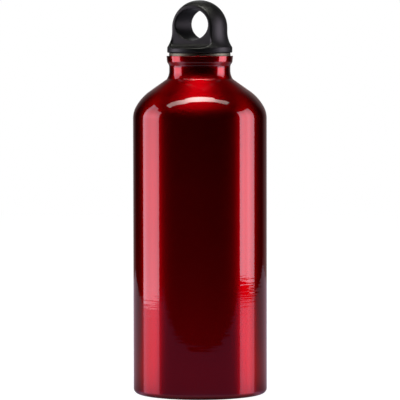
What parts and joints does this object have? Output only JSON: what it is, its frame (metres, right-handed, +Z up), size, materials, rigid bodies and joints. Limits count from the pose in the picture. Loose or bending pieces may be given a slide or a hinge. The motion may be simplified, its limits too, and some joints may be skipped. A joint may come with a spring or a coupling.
{
  "type": "aluminum water bottle",
  "caption": "Narrow-neck aluminum drinking bottle with sloping shoulders and a screw cap that ends in a carrying loop.",
  "frame": {"origin": "centre of the base, on the plane that the bottle stands on", "axes": "+Z up along the bottle's axis, which is also the screw axis of the cap; +Y along the hole of the cap's loop; +X across the loop"},
  "size_m": [0.0702, 0.0702, 0.2065],
  "materials": {
    "lacquered_shell": "clear red gloss lacquer over aluminium",
    "bare_metal": "turned, satin",
    "cap_plastic": "satin black polypropylene",
    "seal": "soft silicone"
  },
  "bodies": {
    "bottle": {"bottle_shell": "lacquered_shell", "neck_ring": "bare_metal"},
    "seal": {"cap_seal": "seal"},
    "cap": {"cap_body": "cap_plastic", "cap_stem": "cap_plastic"}
  },
  "joints": [
    {"name": "cap_rise", "type": "slide", "parent": "bottle", "child": "seal", "axis": [0, 0, 1], "range_m": [0, 0.02]},
    {"name": "cap_turn", "type": "hinge", "parent": "seal", "child": "cap", "pos_m": [0, 0, 0.1792], "axis": [0, 0, 1], "range_deg": [0, 1800]}
  ],
  "couplings": [
    {"joint": "cap_rise", "follows": "cap_turn", "m_per_rad": 0.00063662}
  ]
}
